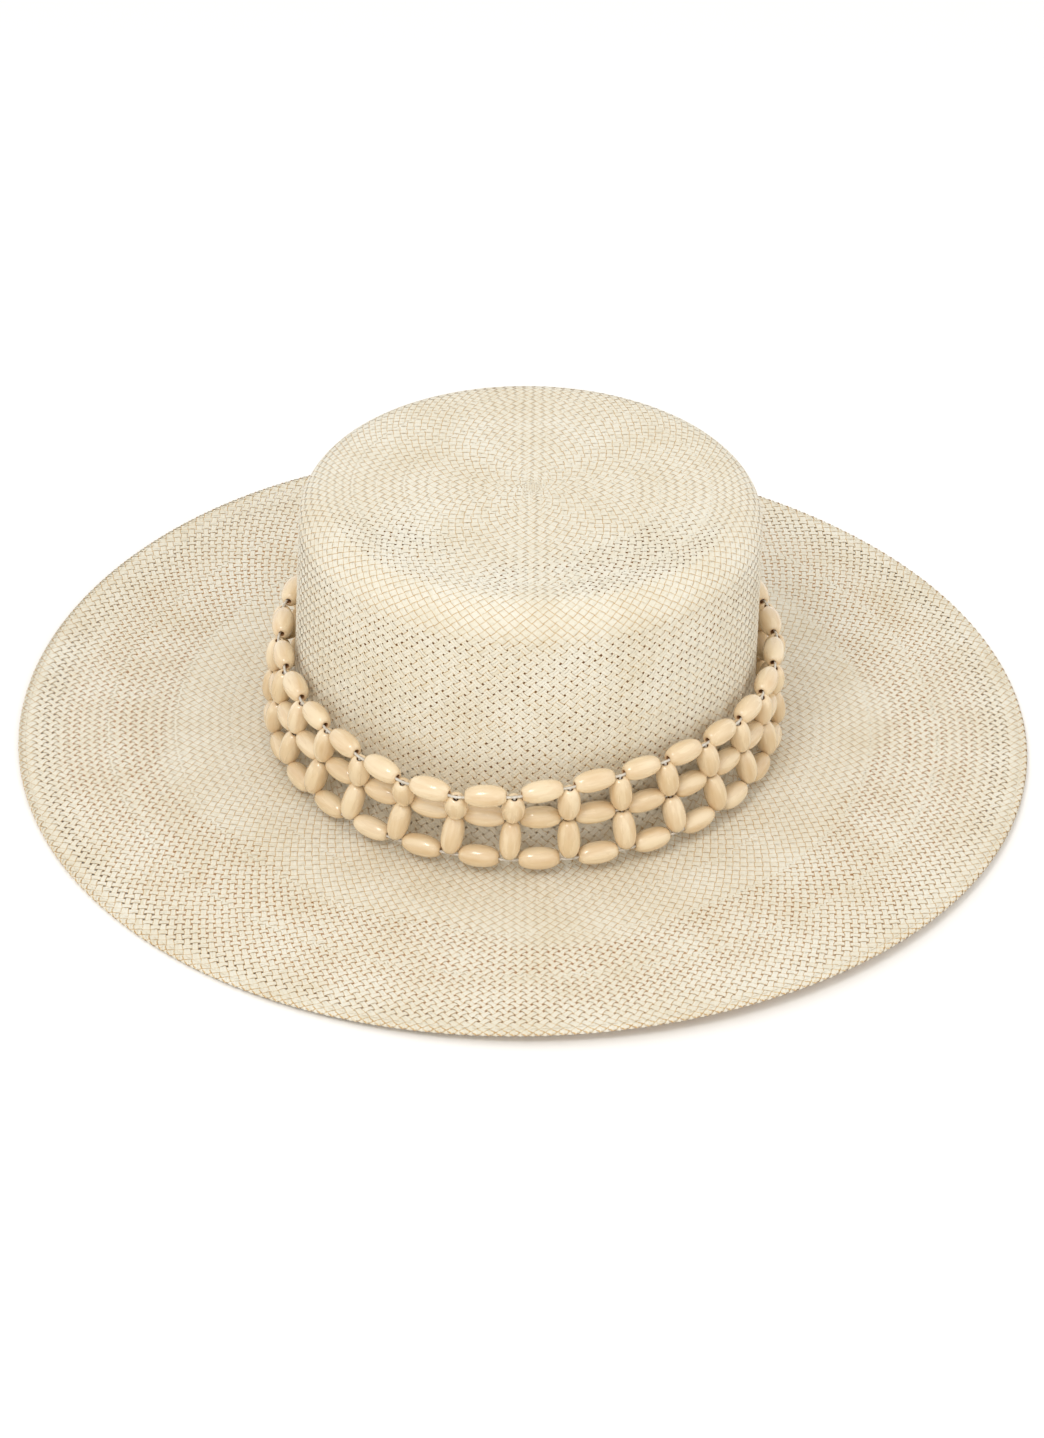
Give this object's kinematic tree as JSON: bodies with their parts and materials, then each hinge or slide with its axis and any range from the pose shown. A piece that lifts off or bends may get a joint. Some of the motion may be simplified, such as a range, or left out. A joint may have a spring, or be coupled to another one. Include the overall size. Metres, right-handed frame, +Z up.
{
  "type": "panama hat",
  "caption": "Wide-brimmed woven straw panama hat with a flat crown and a band of oval wooden beads strung as a net round the crown.",
  "frame": {"origin": "centre of the ground face under the brim, on the crown's upright axis", "axes": "+Z up out of the crown, -Y towards the hat's front, +X to the right of someone who faces its front"},
  "size_m": [0.3808, 0.3948, 0.1046],
  "materials": {
    "straw": "satin woven straw",
    "bead_wood": "gloss",
    "bead_cord": "gloss",
    "sweatband_fabric": "matte",
    "sewing_thread": "satin",
    "tab_fabric": "matte"
  },
  "bodies": {
    "hat": {"hat_body": "straw", "hem_stitching": "sewing_thread", "sweatband": "sweatband_fabric", "sweatband_stitching": "sewing_thread", "size_tab": "tab_fabric"},
    "bead_band": {"bead_column_01": "bead_wood", "bead_column_02": "bead_wood", "bead_column_03": "bead_wood", "bead_column_04": "bead_wood", "bead_column_05": "bead_wood", "bead_column_06": "bead_wood", "bead_column_07": "bead_wood", "bead_column_08": "bead_wood", "bead_column_09": "bead_wood", "bead_column_10": "bead_wood", "bead_column_11": "bead_wood", "bead_column_12": "bead_wood", "bead_column_13": "bead_wood", "bead_column_14": "bead_wood", "bead_column_15": "bead_wood", "bead_column_16": "bead_wood", "bead_column_17": "bead_wood", "bead_column_18": "bead_wood", "bead_column_19": "bead_wood", "bead_column_20": "bead_wood", "bead_column_21": "bead_wood", "bead_column_22": "bead_wood", "bead_column_23": "bead_wood", "bead_column_24": "bead_wood", "bead_column_25": "bead_wood", "bead_column_26": "bead_wood", "bead_column_27": "bead_wood", "bead_column_28": "bead_wood", "bead_column_29": "bead_wood", "bead_cord_knot": "bead_cord"}
  },
  "joints": [
    {"name": "band_lift", "type": "slide", "parent": "hat", "child": "bead_band", "axis": [0, 0, 1], "range_m": [0, 0.11]}
  ]
}
